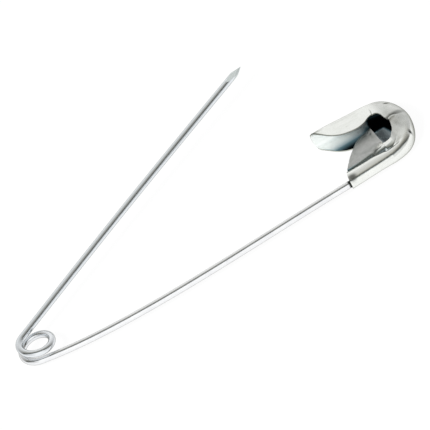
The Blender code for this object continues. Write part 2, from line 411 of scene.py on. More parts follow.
@dataclass(frozen=True)
class CapForm:
    """Ribs, sections and pressed detail of the cap's middle surface."""

    # The cap and its sheet.
    length: float = 24.5 * MM
    height: float = 25.5 * MM
    depth: float = 6.5 * MM
    sheet: float = 0.35 * MM
    # The grid: ribs along the blank, and columns from its rim to its free edge.
    steps_per_rib: int = 12
    rim_columns: int = 14
    side_columns: int = 5
    drop_columns: int = 12
    edge_columns: int = 26
    crowding: float = 1.6
    # The roll round the wire, and the crease that ends it.
    tube_radius: float = 1.275 * MM
    seat_gap: float = 0.1 * MM
    crown_lean: float = 0.34 * MM
    crown_power: float = 0.2
    crease_round: float = 0.96
    crease_height: float = 3.85 * MM
    crease_turns: float = 8.5 * MM
    crease_takes: float = 5.0 * MM
    crease_early: float = 0.5
    crease_drop: float = 0.5 * MM
    crease_last: float = 1.0 * MM
    roll_share: float = 0.8
    roll_more: float = 0.12
    roll_ends: Shares = (0.57, 0.08)
    # The guard's leaves, their rise out of the crease, and the mouth.
    leaf_level: float = 0.225 * MM
    leaf_settles: float = 2
    leaf_rise: Shares = (0.42 * MM, 1.02 * MM)
    leaf_run: Shares = (0.62 * MM, 1.32 * MM)
    grows: Fade = Fade(0, 14)
    yield_depth: float = 0.62 * MM
    yield_along: tuple = (Fade(-1, 9), Fade(11.5, 3))
    yield_across: Fade = Fade(3, 10)
    mouth_bow: float = 1.8
    mouth_flare: float = 0.10 * MM
    mouth_reach: float = 1.2 * MM
    # The bend and the catch, and how their walls open out of the roll.
    bend_height: float = 4.2 * MM
    corner_depth: float = 2.3 * MM
    corner_power: float = 2.5
    opening_starts: float = 0.35
    opening_ends: float = 0.92
    front_starts: float = 0.52
    front_takes: float = 0.88
    front_ends: float = 0.45
    front_tilt: float = 0.20 * MM
    flat_starts: float = 0.62
    flat_takes: float = 0.25
    edge_dip: float = 0.35 * MM
    dip_fades: Fade = Fade(16, 5)
    flare: float = 0.75 * MM
    flare_along: Shares = (0.25, 0.70)
    flare_across: float = 4
    # Pressed into the front wall: the groove, the fold, the flank beside the slit, dents.
    valley: tuple = in_mm((12.4, 2.75), (13.9, 2.60), (15.6, 2.65), (17.4, 2.95), (19.6, 3.60))
    valley_spread: Shares = (0.42 * MM, 0.75 * MM)
    valley_depth: float = 0.55 * MM
    valley_starts: float = 5
    valley_fades: Shares = (0.65, 0.35)
    fold: tuple = in_mm((18.6, 12.0), (20.1, 12.55), (21.4, 12.35), (22.9, 11.3))
    fold_fades: float = 0.5
    fold_depth: float = 0.34 * MM
    fold_spread: float = 0.28 * MM
    crest_height: float = 0.24 * MM
    crest_away: float = 0.75 * MM
    crest_spread: float = 0.4 * MM
    flank: tuple = in_mm((10.3, 4.75), (12.2, 4.10), (13.9, 3.75), (16.2, 4.20), (18.0, 5.2))
    slit_lip: tuple = in_mm((10.2, 4.75), (14.2, 6.60), (15.0, 9.0), (15.6, 12.5))
    flank_slope: float = 0.15
    flank_width: float = 3 * MM
    lip_kept: Fade = Fade(0, 0.45)
    flank_ends: Fade = Fade(15.5, 2.5)
    dents: tuple = (
        Dent(21.6, 18.45, 0.60, 0.22, -25, 0.22, 1.0),
        Dent(21.6, 3.85, 0.36, 0.30, 40, 0.30, 1.0),
        Dent(11.25, 5.05, 1.00, 0.46, 22, 0.26, 0.9),
        Dent(13.5, 2.75, 0.28, 0.22, 0, 0.16, 0.8),
        Dent(22.3, 9.60, 1.40, 1.00, 70, 0.20, 0.15),
        Dent(20.3, 15.2, 1.30, 0.80, 50, -0.12, 0.0),
        Dent(20.4, 8.20, 0.60, 1.50, 10, 0.18, 0.14),
        Dent(13.1, 12.4, 0.30, 0.22, 30, 0.08, 0.6),
        Dent(22.3, 12.2, 1.50, 0.75, -25, 0.09, 0.45),
        Dent(1.25, 0.15, 1.10, 0.85, 5, 0.03, 0.78),
    )

    @property
    def wall_level(self) -> float:
        """Half depth of the open channel, to the middle of the sheet."""
        return (self.depth - self.sheet) / 2

    @property
    def crease_columns(self) -> int:
        """Columns from the rim to the guard's crease."""
        return self.rim_columns + self.side_columns + self.drop_columns

    @property
    def columns(self) -> int:
        """Columns from the rim to the free edge."""
        return self.crease_columns + self.edge_columns

    def place(self, shares: Shares) -> Point:
        """Return a point in the pin's plane from shares of the cap's length and height."""
        return Vector((shares[0] * self.length, shares[1] * self.height, 0))

    def ribs(self, table: tuple) -> list[list[Point]]:
        """Return the ribs of a table with smooth ones between them.

        Args:
            table: Ribs in shares of the length and height.

        Returns:
            The ribs, each from its rim to its free edges.
        """
        last = len(table) - 1
        series = []
        for index in range(last):
            around = [table[min(max(index + step, 0), last)] for step in (-1, 0, 1, 2)]
            for step in range(self.steps_per_rib):
                t = step / self.steps_per_rib
                rib = []
                for ends in zip(*around):
                    a, b, c, d = (self.place(end) for end in ends)
                    rib.append(
                        (b * 2 + (c - a) * t + (a * 2 - b * 5 + c * 4 - d) * t ** 2
                         + (b * 3 - a - c * 3 + d) * t ** 3) / 2
                    )
                series.append(rib)
        series.append([self.place(end) for end in table[-1]])
        return series

    def seat(self, first: float, last: float) -> list[Point]:
        """Return the line inside the cap that the wire's end lies on.

        Args:
            first: Where the line starts, from the mouth.
            last: Where it ends.

        Returns:
            Points along the middle of the roll.
        """
        line = []
        for rib in self.ribs(GUARD_RIB_SHARES) + self.ribs(WALL_RIB_SHARES):
            if first < rib[0].x < last and (not line or rib[0].x > line[-1].x + self.seat_gap):
                line.append(rib[0] + Vector((0, self.tube_radius, 0)))
        return line

    def crease(self, x: float) -> float:
        """Return the height of the guard's crease above the wire at a place along it.

        Args:
            x: Place along the fixed arm, from the mouth.

        Returns:
            The height.
        """
        late = ease((x - self.crease_turns) / self.crease_takes)
        early = ease(x / self.crease_turns) * self.crease_early
        return self.crease_height - self.crease_drop * early - self.crease_last * late

    def rise_run(self, x: float) -> float:
        """Return the length of the guard's rise out of its crease at a place along it."""
        return self.leaf_run[0] + (self.leaf_run[1] - self.leaf_run[0]) * self.grows.at(x)

    def heights(self, crease: float) -> list[float]:
        """Return the heights above the wire of the columns from rim to crease.

        Args:
            crease: Height of the crease.

        Returns:
            The heights, from the rim on.
        """
        heights = []
        for column in range(self.rim_columns + 1):
            turn = math.pi / 2 * column / self.rim_columns
            heights.append(-self.tube_radius * math.cos(turn))
        count = self.side_columns + self.drop_columns
        for column in range(1, count + 1):
            heights.append(crease * math.sin(math.pi / 2 * column / count))
        return heights

    def roll_level(self, height: float, crease: float, lean: float) -> float:
        """Return how far the roll stands out at a height above the wire.

        Args:
            height: Height above the wire's middle.
            crease: Height of the crease that ends the roll.
            lean: How far the roll's crown is raised towards the guard.

        Returns:
            The half depth to the middle of the sheet.
        """
        radius = self.tube_radius + lean
        if height <= 0:
            return math.sqrt(max(radius ** 2 - (height - lean) ** 2, 0.0))
        past = height / crease
        power = 2.0 + self.crown_power * lean / self.crown_lean
        drop = max(1 - self.crease_round * past ** power, 0.0) ** (1 / power)
        crown = math.sqrt(radius ** 2 - lean ** 2)
        slope = lean / crown * height * max(1 - past * past, 0.0)
        return self.leaf_level + (crown - self.leaf_level) * drop + slope

    def channel_level(self, depth: float) -> float:
        """Return the open channel's half depth at a distance in from its rim.

        Args:
            depth: The distance.

        Returns:
            The half depth to the middle of the sheet.
        """
        inward = min(depth / self.corner_depth, 1.0)
        full = (1 - (1 - inward) ** self.corner_power) ** (1 / self.corner_power)
        return self.wall_level * full

    def section(self, rim: Point, edge: Point, part: Part, webbed: bool) -> list[Point]:
        """Return one wall of a section, before its pressed detail.

        Args:
            rim: Place of the section on the cap's outline.
            edge: Place of its free edge.
            part: The run of the sheet that it belongs to.
            webbed: Whether the wall closes the bend from behind.

        Returns:
            Points from the rim to the free edge, with the half depth as their Z.
        """
        in_guard = part is Part.GUARD
        across = edge - rim
        reach = across.y if in_guard else across.length
        lean = self.mouth_bow if in_guard else 1.0
        run = rim.x / self.length
        opened, spread = 1.0, 1.0
        if rim.y < self.bend_height:
            slit = WALL_RIB_SHARES[0][0][0]
            opened = ease((run - self.opening_starts) / (self.opening_ends - self.opening_starts))
            spread = ease((run - slit) / (self.opening_ends - slit)) if webbed else opened
        bend = run + rim.y / self.height
        if not webbed and rim.y < self.front_ends * self.height:
            opened = ease((bend - self.front_starts) / self.front_takes)
        flat = 0.0 if in_guard or webbed else ease((bend - self.flat_starts) / self.flat_takes)
        height_here = self.crease(rim.x)
        crown_lean = 0.0 if webbed else self.crown_lean
        crease = height_here + self.tube_radius
        roll_ends, takes = self.roll_ends
        tight = self.roll_share + self.roll_more * (1 - ease((run - roll_ends) / takes))
        shrink = min(1.0, tight * reach / crease)
        depths, levels = [], []
        for height in self.heights(height_here):
            depth = (height + self.tube_radius) * shrink
            rolled = self.roll_level(height, height_here, crown_lean)
            if height > 0:
                rolled += (self.tube_radius + crown_lean - rolled) * flat
            depths.append(depth)
            levels.append(rolled * (1 - opened) + self.channel_level(depth) * opened)
        crease_depth, crease_level = depths[-1], levels[-1]
        far_level = self.leaf_level
        if not in_guard:
            far_level += (self.wall_level - self.leaf_level) * spread
        front = not in_guard and not webbed
        low, high = self.leaf_rise
        rise = low + (high - low) * self.grows.at(rim.x)
        run_out = self.rise_run(rim.x)
        tilt = self.front_tilt * (1 - opened)
        if rim.y < self.bend_height:
            tilt -= self.edge_dip * self.dip_fades.left(rim.x)
        for column in range(1, self.edge_columns + 1):
            share = (column / self.edge_columns) ** self.crowding
            beyond = (reach - crease_depth) * share
            depths.append(crease_depth + beyond)
            if front:
                top = max(crease_level, self.leaf_level + high)
                level = crease_level + (top - crease_level) * ramp(beyond / run_out)
                level += tilt * share
            else:
                settled = ease(share * self.leaf_settles)
                level = crease_level + (far_level - crease_level) * settled
                level += rise * ramp(beyond / run_out) * (1.0 if in_guard else 0.0)
            levels.append(level)
        levels[0] = 0  # the two walls meet on the rim
        points = []
        for depth, level in zip(depths, levels):
            share = depth / reach
            points.append(
                Vector((rim.x + across.x * share ** lean, rim.y + across.y * share, level))
            )
        return points

    def yielded(self, along: float, across: float) -> float:
        """Return how far the guard's front leaf is pressed in, where the pin slides past it.

        Args:
            along: The distance from the mouth along the wire.
            across: The distance from the wire's line.

        Returns:
            The depth in metres.
        """
        start, end = self.yield_along
        span = start.at(along) * end.left(along)
        return self.yield_depth * span * self.yield_across.at(across)

    def flared(self, point: Point, rim: Point, edge: Point) -> float:
        """Return how far the catch's front wall leans in from its free edge.

        Args:
            point: Place on the wall.
            rim: The rim of its section.
            edge: The free edge of its section.

        Returns:
            The lean, as a change of the half depth.
        """
        start, takes = self.flare_along
        along = ease((rim.y / self.height - start) / takes)
        across = (point - rim).xy.length / (edge - rim).xy.length
        return -self.flare * along * (1 - across) * ease(across * self.flare_across)

    def pressed(self, x: float, y: float) -> float:
        """Return how far the front wall's pressed detail stands out at a place.

        Args:
            x: Place along the fixed arm.
            y: Place across it.

        Returns:
            The height of the detail.
        """
        away, side, along = away_from_line(x, y, self.valley)
        inner, outer = self.valley_spread
        starts, takes = self.valley_fades
        depth = self.valley_depth * ease(along * self.valley_starts)
        depth *= 1 - ease((along - starts) / takes)
        rise = -depth * bell(away, inner if side < 0 else outer)
        away, side, along = away_from_line(x, y, self.fold)
        crest = 0.0
        if side < 0:
            crest = self.crest_height * bell(away - self.crest_away, self.crest_spread)
        fade = 1 - ease((along - self.fold_fades) / (1 - self.fold_fades))
        rise += (crest - self.fold_depth * bell(away, self.fold_spread)) * fade
        rise -= self.flank_slope * self.flanked(x, y)
        for dent in self.dents:
            rise -= dent.depth * MM * dent.weight(x, y)
        return rise

    def flanked(self, x: float, y: float) -> float:
        """Return how far past the groove a place lies on the flank beside the slit.

        Args:
            x: Place along the fixed arm.
            y: Place across it.

        Returns:
            The distance, which is 0 off the flank.
        """
        away, side, _ = away_from_line(x, y, self.flank)
        beyond = min(away, self.flank_width) if side > 0 else 0.0
        away, side, _ = away_from_line(x, y, self.slit_lip)
        kept = self.lip_kept.left(away) if side > 0 else 1.0
        return beyond * kept * self.flank_ends.left(x)


@dataclass(frozen=True)
class Spot:
    """One place of the folded sheet, before its pressed detail, and how it lies there."""

    point: Point
    rim: Point
    edge: Point
    part: Part
    side: Side
    step: int

    @property
    def on_front(self) -> bool:
        """Whether the place is on the front wall, off its rim."""
        return self.side is Side.FRONT and self.step > 0

    @property
    def to_edge(self) -> float:
        """Distance to the sheet's free edge, across the pin's plane."""
        return (self.edge - self.point).xy.length


@dataclass(frozen=True)
class CapWearAndShade:
    """Where the cap is worn, dirty and dull, and the shade painted in its dents, creases, dull
    parts and inside, as shares of 0 to 1.
    """

    form: CapForm
    # The worn free edge; darkening on the nose and the lip; grime and painted shade in the dents
    # and the fold.
    worn_edge: Fade = Fade(0, 0.6)
    nose: Fade = Fade(-0.4, 2.6)
    nose_dark_spread: float = 0.95 * MM
    lip: Fade = Fade(8, 3)
    lip_dark_spread: float = 0.12 * MM
    lip_share: float = 0.45
    dent_gain: float = 1.3
    dent_floor: float = 0.2
    fold_shade_share: float = 0.6
    fold_shade_spread: float = 0.3 * MM
    # The dull leaf and the dull bend, painted a darker grey as shade.
    leaf_starts: Fade = Fade(-0.15, 0.3)
    flank_starts: Fade = Fade(0, 0.2)
    bend_share: float = 0.50
    bend_along: Fade = Fade(16.5, 3.5)
    bend_across: Fade = Fade(4, 3)
    # The painted shade line along the guard's rise.
    rise_band: float = 0.45
    rise_spread: float = 0.12 * MM
    rise_ends: Fade = Fade(13, 6)
    rise_share: Shares = (0.95, 0.62)
    rise_dims: Fade = Fade(0, 7)
    # Painted shade on the inner face: the catch's two walls, its brim and the bend's web.
    shade_line: float = 18.8 * MM
    shade_lifts: tuple = ((1.5 * MM, Fade(12, 2.3)), (6 * MM, Fade(14.6, 1.4)))
    shade_depth: Fade = Fade(-2.6, 5.2)
    front_depth: tuple = ((0.3, Fade(2.5, 3)), (0.7, Fade(11, 3)))
    brim_share: float = 0.6
    brim_spread: float = 0.5 * MM
    brim_starts: Fade = Fade(0, 3)
    web_share: float = 0.66
    web_below: Fade = Fade(17.0, -0.8)
    web_starts: Fade = Fade(12.0, 1.4)
    web_ends: Fade = Fade(18.2, 0.8)
    web_level: float = 14 * MM
    web_lean: float = 0.25

    def edge(self, spot: Spot) -> float:
        """Return how near the worn free edge a spot is."""
        return self.worn_edge.left(spot.to_edge)

    def grime_and_shade(self, spot: Spot) -> float:
        """Return how dark the front wall's marks and lips are: grime and painted shade in the
        dents and the fold, darkening at the nose and the lip.

        Args:
            spot: The place.

        Returns:
            The share, from 0 to 1.
        """
        if not spot.on_front:
            return 0.0
        x, y = spot.point.x, spot.point.y
        mark = max(
            dent.grime_and_shade * ease(dent.weight(x, y) * self.dent_gain - self.dent_floor)
            for dent in self.form.dents
        )
        away, _, along = away_from_line(x, y, self.form.fold)
        mark = min(1.0, mark + self.fold_shade_share * bell(away, self.fold_shade_spread) * (1 - along))
        if spot.rim.y > self.form.bend_height:
            nose = self.nose.left(x) * bell(spot.to_edge, self.nose_dark_spread)
            lip = self.lip_share * self.lip.left(x) * bell(spot.to_edge, self.lip_dark_spread)
            mark = max(mark, nose, lip)
        return mark

    def _past_rise(self, spot: Spot) -> float:
        """Return how far past the guard's rise a spot is, across the wire.

        Args:
            spot: The place.

        Returns:
            The distance, below 0 before the rise ends.
        """
        form, rim = self.form, spot.rim
        crease = form.crease(rim.x)
        return spot.point.y - rim.y - form.tube_radius - crease - form.rise_run(rim.x)

    def dull_and_shade(self, spot: Spot) -> float:
        """Return how dull the guard's leaf or the bend is, and how much darker grey is painted on
        it as shade.

        Args:
            spot: The place.

        Returns:
            The share, from 0 to 1.
        """
        x, y = spot.point.x, spot.point.y
        if spot.part is Part.GUARD:
            leaf = self.leaf_starts.at(self._past_rise(spot))
            return leaf * self.flank_starts.left(self.form.flanked(x, y))
        return self.bend_share * self.bend_along.at(x) * self.bend_across.at(y)

    def crease(self, spot: Spot) -> float:
        """Return the painted shade, a dark slate line, along the guard's rise out of its crease.

        Args:
            spot: The place.

        Returns:
            The share, from 0 to 1.
        """
        if not spot.on_front:
            return 0.0
        x, run = spot.rim.x, self.form.rise_run(spot.rim.x)
        off = max(abs(self._past_rise(spot) + 0.5 * run) - self.rise_band * run, 0)
        most, less = self.rise_share
        dimmed = most - less * self.rise_dims.at(x)
        return bell(off, self.rise_spread) * self.rise_ends.left(x) * dimmed

    def inside(self, spot: Spot) -> float:
        """Return the painted shade on a spot's inner face: dark deep inside the cap, lighter on
        the web.

        Args:
            spot: The place.

        Returns:
            The share, from 0 to 1.
        """
        x, y = spot.point.x, spot.point.y
        deep_painted_shade = 1.0
        if spot.rim.y > self.form.bend_height and spot.side is Side.FRONT:
            deep_painted_shade = sum(share * fade.at(x) for share, fade in self.front_depth)
        elif spot.rim.y > self.form.bend_height:
            shade = self.shade_line - y
            shade += sum(height * fade.at(x) for height, fade in self.shade_lifts)
            brim = self.brim_share * bell(spot.to_edge, self.brim_spread)
            deep_painted_shade = max(self.shade_depth.at(shade), brim * self.brim_starts.at(x))
        if spot.side is Side.BACK:
            web = self.web_below.at(y) * self.web_starts.at(x)
            web *= self.web_ends.left(x + (y - self.web_level) * self.web_lean)
            deep_painted_shade -= self.web_share * web
        return deep_painted_shade


# ---------------------------------------------------------------- finishes


@dataclass(frozen=True)
class Plate:
    """A nickel-plated finish, how it has worn, and the colours of the shade painted on it."""

    name: str
    tone: tuple
    shade: tuple
    worn: tuple
    metallic: float
    roughness: float
    roughness_spread: float
    mottle_scale: float
    peel_scale: float
    peel_depth: float
    line_depth: float
    rim_tint: tuple = (0.30, 0.30, 0.27, 1)
    # Colours of the painted shade, halfway in and deep inside.
    half_painted_shade: tuple = (0.17, 0.29, 0.34, 1)
    deep_painted_shade: tuple = (0.008, 0.016, 0.020, 1)


WIRE_PLATE = Plate(
    name="bright_wire_plate",
    tone=(0.93, 0.935, 0.945, 1), shade=(0.76, 0.77, 0.80, 1), worn=(0.90, 0.89, 0.86, 1),
    # Painted shade: the darker, bluer tone of the pin arm and the coil.
    half_painted_shade=(0.80, 0.835, 0.865, 1),
    metallic=1.0, roughness=0.13, roughness_spread=0.10,
    mottle_scale=320, peel_scale=1500, peel_depth=0.004 * MM, line_depth=0.006 * MM,
)
CAP_PLATE = Plate(
    name="bright_cap_plate",
    tone=(0.925, 0.94, 0.91, 1), shade=(0.765, 0.785, 0.74, 1), worn=(0.96, 0.96, 0.95, 1),
    metallic=1.0, roughness=0.13, roughness_spread=0.11,
    mottle_scale=260, peel_scale=900, peel_depth=0.012 * MM, line_depth=0.004 * MM,
)
INNER_PLATE = Plate(
    name="inner_plate_painted_shade",
    tone=(0.95, 0.98, 0.96, 1), shade=(0.84, 0.89, 0.87, 1), worn=(0.95, 0.97, 0.95, 1),
    metallic=0.45, roughness=0.30, roughness_spread=0.14,
    mottle_scale=230, peel_scale=900, peel_depth=0.010 * MM, line_depth=0.004 * MM,
)
GROUND_POINT = Plate(
    name="ground_point",
    tone=(0.86, 0.92, 0.91, 1), shade=(0.70, 0.77, 0.80, 1), worn=(0.56, 0.58, 0.52, 1),
    metallic=0.72, roughness=0.22, roughness_spread=0.16,
    mottle_scale=900, peel_scale=1600, peel_depth=0.006 * MM, line_depth=0.006 * MM,
)
CUT_EDGE = Plate(
    name="sheared_edge",
    tone=(0.42, 0.44, 0.38, 1), shade=(0.30, 0.32, 0.27, 1), worn=(0.56, 0.58, 0.52, 1),
    metallic=0.8, roughness=0.34, roughness_spread=0.18,
    mottle_scale=500, peel_scale=1600, peel_depth=0.010 * MM, line_depth=0.006 * MM,
)
WIRE_RUN = Vector((420, 36, 1))
SHEET_RUN = Vector((30, 90, 1))
# Marks each piece keeps: worn edge, grime with painted shade, dull finish with painted shade,
# painted shade, and the painted shade line of the crease.
MARKS = ("edge", "grime_and_shade", "dull_and_shade", "inside", "crease")

# How the shared node groups read their textures.
FINE_TO_BROAD = 7.3
CLOUD_RANGE = (0.36, 0.66)
FINE_RANGE = (0.4, 0.7)
LINE_RANGE = (0.42, 0.68)
PINHOLE_PICK = 0.88
PINHOLE_SIZE = (0.06, 0.20)
PINHOLE_SCALE = 1100.0

# How strongly each effect shows, and the colours of what is not plate, painted shade among them.
CLOUD_SHARE = 0.35
PINHOLE_SHARE = 0.35
LINE_SHARE = 0.6
DULL_SHADE_SHARE = 0.90
DULL_ROUGHNESS = 0.16
GRIME_AND_SHADE_ROUGHNESS = 0.25
PINHOLE_COLOUR = (0.22, 0.21, 0.19, 1)
# Mottled darker greys painted as shade on the dull guard leaf and bend.
DULL_SHADE_TONE = (0.53, 0.53, 0.525, 1)
DULL_SHADE_DARK = (0.37, 0.385, 0.37, 1)
# Colour of grime and of painted shade in the dents, the fold and the gap at the mouth.
GRIME_AND_SHADE_COLOUR = (0.04, 0.045, 0.04, 1)
# Where the painted shade mask gives its half and its deep shade colour.
HALF_SHADE_RANGE = (0.0, 0.6)
DEEP_SHADE_RANGE = (0.45, 1.0)
FULL_METAL_RANGE = (0.85, 1.0)


# Places of a colour mix's factor, colours and result among a Mix node's sockets.
MIX_INPUTS = (0, 6, 7)
MIX_OUTPUT = 2


class NodeSheet:
    """A node tree with short ways to add and join its nodes."""

    def __init__(self, tree: NodeTree) -> None:
        """Keep the tree to work on."""
        self.tree = tree

    def add(self, kind: str, **settings: object) -> Node:
        """Add a node.

        Args:
            kind: Blender's name of the node type.
            settings: Attributes to set on the node.

        Returns:
            The new node.
        """
        node = self.tree.nodes.new(kind)
        for name, value in settings.items():
            setattr(node, name, value)
        return node

    def join(self, source: NodeSocket, target: NodeSocket) -> None:
        """Join an output socket to an input socket."""
        self.tree.links.new(source, target)

    def put(self, socket: NodeSocket, value: Value) -> None:
        """Feed an input socket.

        Args:
            socket: The socket.
            value: An output to join to it, or its own value.
        """
        if isinstance(value, NodeSocket):
            self.join(value, socket)
        else:
            socket.default_value = value

    def feed(self, node: Node, **values: Value) -> Node:
        """Feed a node's inputs.

        Args:
            node: The node.
            values: What each named input gets; a space in its name is an underscore.

        Returns:
            The node.
        """
        for name, value in values.items():
            self.put(node.inputs[name.replace("_", " ")], value)
        return node

    def maths(self, operation: str, *values: Value) -> NodeSocket:
        """Add a Math node.

        Args:
            operation: Blender's name of what it works out.
            values: What it works on.

        Returns:
            Its output.
        """
        node = self.add("ShaderNodeMath", operation=operation)
        for socket, value in zip(node.inputs, values):
            self.put(socket, value)
        return node.outputs[0]

    def times(self, first: Value, second: Value) -> NodeSocket:
        """Return the product of two values."""
        return self.maths("MULTIPLY", first, second)

    def blend(self, factor: Value, low: Value, high: Value, way: str = "MIX") -> NodeSocket:
        """Mix two colours.

        Args:
            factor: Share of the second colour.
            low: The first colour.
            high: The second colour.
            way: Blender's name of the way of mixing.

        Returns:
            The mixed colour.
        """
        node = self.add("ShaderNodeMix", data_type="RGBA", blend_type=way)
        for index, value in zip(MIX_INPUTS, (factor, low, high)):
            self.put(node.inputs[index], value)
        return node.outputs[MIX_OUTPUT]

    def spread(self, value: Value, low: float, high: float, to_low: float = 0.0,
               to_high: float = 1.0) -> NodeSocket:
        """Map a range of values to another and hold them inside it.

        Args:
            value: The value to map.
            low: Start of its range.
            high: End of its range.
            to_low: What the start becomes.
            to_high: What the end becomes.

        Returns:
            The mapped value.
        """
        node = self.add("ShaderNodeMapRange")
        self.feed(node, Value=value, From_Min=low, From_Max=high, To_Min=to_low, To_Max=to_high)
        return node.outputs["Result"]

    def noise(self, place: Value, scale: Value, **settings: float) -> NodeSocket:
        """Add a Noise texture.

        Args:
            place: Where it is read.
            scale: Its scale.
            settings: Its other inputs.

        Returns:
            Its value.
        """
        node = self.add("ShaderNodeTexNoise")
        self.feed(node, Vector=place, Scale=scale, **settings)
        return node.outputs["Fac"]


class EffectGroups:
    """Node groups that more than one finish uses."""

    def __init__(self) -> None:
        """Build the groups once."""
        self.mottle = self._mottle()
        self.skin = self._skin()
        self.specks = self._specks()

    @staticmethod
    def _start(name: str, inputs: tuple, outputs: tuple) -> tuple[NodeTree, NodeSheet, Node, Node]:
        """Open a group with float or vector sockets.

        Args:
            name: Name of the group.
            inputs: Pairs of socket name and Float or Vector.
            outputs: Names of the outputs, all Float.

        Returns:
            The group, its sheet, and its input and output nodes.
        """
        group = bpy.data.node_groups.new(name, "ShaderNodeTree")
        for label, kind in inputs:
            group.interface.new_socket(label, in_out="INPUT", socket_type="NodeSocket" + kind)
        for label in outputs:
            group.interface.new_socket(label, in_out="OUTPUT", socket_type="NodeSocketFloat")
        sheet = NodeSheet(group)
        return group, sheet, sheet.add("NodeGroupInput"), sheet.add("NodeGroupOutput")

    def _mottle(self) -> NodeTree:
        """Build the soft cloudy wear of handled plating.

        Returns:
            The group.
        """
        group, sheet, given, out = self._start(
            "handling_mottle", (("Place", "Vector"), ("Scale", "Float")), ("Cloud", "Fine")
        )
        place, scale = given.outputs["Place"], given.outputs["Scale"]
        broad = sheet.noise(place, scale, Detail=5.0, Roughness=0.6, Distortion=0.4)
        fine = sheet.noise(place, sheet.times(scale, FINE_TO_BROAD), Detail=4.0)
        sheet.feed(out, Cloud=sheet.spread(broad, *CLOUD_RANGE))
        sheet.feed(out, Fine=sheet.spread(fine, *FINE_RANGE))
        return group

    def _skin(self) -> NodeTree:
        """Build the fine relief of plated metal: its peel and the lines of its drawing.

        Returns:
            The group.
        """
        group, sheet, given, out = self._start(
            "plated_skin",
            (("Place", "Vector"), ("Run", "Vector"), ("Peel Scale", "Float"),
             ("Peel Depth", "Float"), ("Line Depth", "Float")),
            ("Height", "Lines"),
        )
        peel = sheet.noise(given.outputs["Place"], given.outputs["Peel Scale"],
                           Detail=3.0, Roughness=0.55)
        lines = sheet.noise(given.outputs["Run"], 1.0, Detail=4.0, Roughness=0.6)
        peel_height = sheet.times(peel, given.outputs["Peel Depth"])
        line_height = sheet.times(lines, given.outputs["Line Depth"])
        sheet.feed(out, Height=sheet.maths("ADD", peel_height, line_height),
                   Lines=sheet.spread(lines, *LINE_RANGE))
        return group

    def _specks(self) -> NodeTree:
        """Build the scattered dark pinholes of thin plating.

        Returns:
            The group.
        """
        group, sheet, given, out = self._start(
            "plating_pinholes", (("Place", "Vector"), ("Scale", "Float")), ("Mask",)
        )
        cells = sheet.add("ShaderNodeTexVoronoi", feature="F1")
        sheet.feed(cells, Vector=given.outputs["Place"], Scale=given.outputs["Scale"])
        pick = sheet.add("ShaderNodeSeparateColor")
        sheet.join(cells.outputs["Color"], pick.inputs["Color"])
        chosen = sheet.maths("GREATER_THAN", pick.outputs["Red"], PINHOLE_PICK)
        near = sheet.spread(cells.outputs["Distance"], *PINHOLE_SIZE, 1.0, 0.0)
        sheet.feed(out, Mask=sheet.times(chosen, near))
        return group


